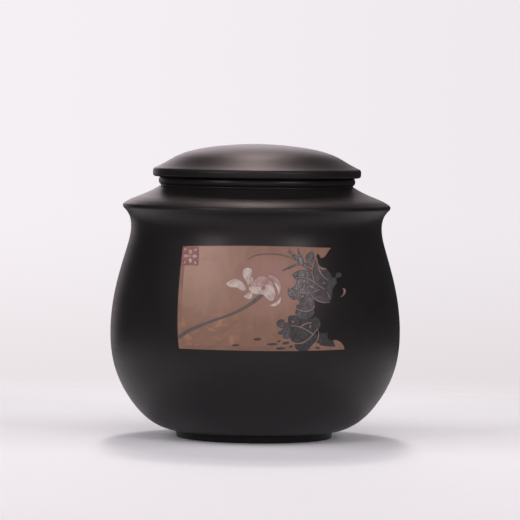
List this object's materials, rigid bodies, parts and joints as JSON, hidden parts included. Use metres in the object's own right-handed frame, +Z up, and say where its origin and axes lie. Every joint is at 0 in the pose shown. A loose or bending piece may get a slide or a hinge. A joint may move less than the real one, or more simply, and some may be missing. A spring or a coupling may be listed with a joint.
{
  "type": "lidded jar",
  "caption": "Round-bellied burnished black clay jar with a flared shoulder, a domed lift-off lid and a flower picture of coloured clays inlaid flush in its front.",
  "frame": {"origin": "centre of the foot ring, on the surface that the jar stands on", "axes": "+Z up along the axis of revolution; the inlaid picture faces -Y, and +X is to the right of someone who looks at it"},
  "size_m": [0.13, 0.13, 0.1315],
  "materials": {
    "black_clay": "burnished satin",
    "tan_clay": "burnished satin, faintly marbled",
    "tan_margin_clay": "burnished satin",
    "tan_line_clay": "burnished satin",
    "red_clay": "burnished satin",
    "cream_clay": "burnished satin",
    "rose_clay": "burnished satin",
    "brown_clay": "burnished satin",
    "blue_grey_clay": "burnished satin",
    "grey_clay": "burnished satin",
    "dark_grey_clay": "burnished satin",
    "dark_clay": "burnished satin"
  },
  "bodies": {
    "jar": {"leaf_spots": "tan_line_clay", "vein_crown": "tan_line_clay", "vein_middle": "tan_line_clay", "vein_right": "tan_line_clay", "vein_shoulder": "tan_line_clay", "vein_blade": "tan_line_clay", "vein_drop": "tan_line_clay", "vein_edge": "tan_line_clay", "vein_low_foot": "tan_line_clay", "vein_low_top": "tan_line_clay", "vein_low_side": "tan_line_clay", "vein_heel": "tan_line_clay", "vein_wing": "tan_line_clay", "seal_blossom": "cream_clay", "seal_tile": "red_clay", "flower_eye": "brown_clay", "flower_bowl": "cream_clay", "petal_upper": "cream_clay", "flower_heart": "rose_clay", "petal_arc": "cream_clay", "petal_veil": "rose_clay", "petal_crescent": "cream_clay", "petal_left": "cream_clay", "petal_small": "cream_clay", "petal_sliver": "cream_clay", "stem": "blue_grey_clay", "bud_tall": "grey_clay", "leaf_blade": "grey_clay", "leaf_crown": "grey_clay", "twigs": "grey_clay", "tendril": "blue_grey_clay", "leaf_middle": "grey_clay", "leaf_right": "grey_clay", "leaf_side": "grey_clay", "leaf_outer": "grey_clay", "leaf_under": "grey_clay", "leaf_drop": "grey_clay", "low_side": "dark_grey_clay", "low_body": "dark_grey_clay", "low_crown": "dark_grey_clay", "low_right": "dark_grey_clay", "leaf_lobed": "grey_clay", "low_toe": "dark_grey_clay", "low_block": "dark_grey_clay", "bud_round": "grey_clay", "curl": "tan_line_clay", "pebbles": "dark_clay", "ground_toe": "tan_clay", "ground_field": "tan_clay", "margin_side": "tan_margin_clay", "margin_foot": "tan_margin_clay", "jar_body": "black_clay"},
    "lid": {"lid": "black_clay"}
  },
  "joints": [
    {"name": "lid_lift", "type": "slide", "parent": "jar", "child": "lid", "axis": [0, 0, 1], "range_m": [0, 0.06]}
  ]
}
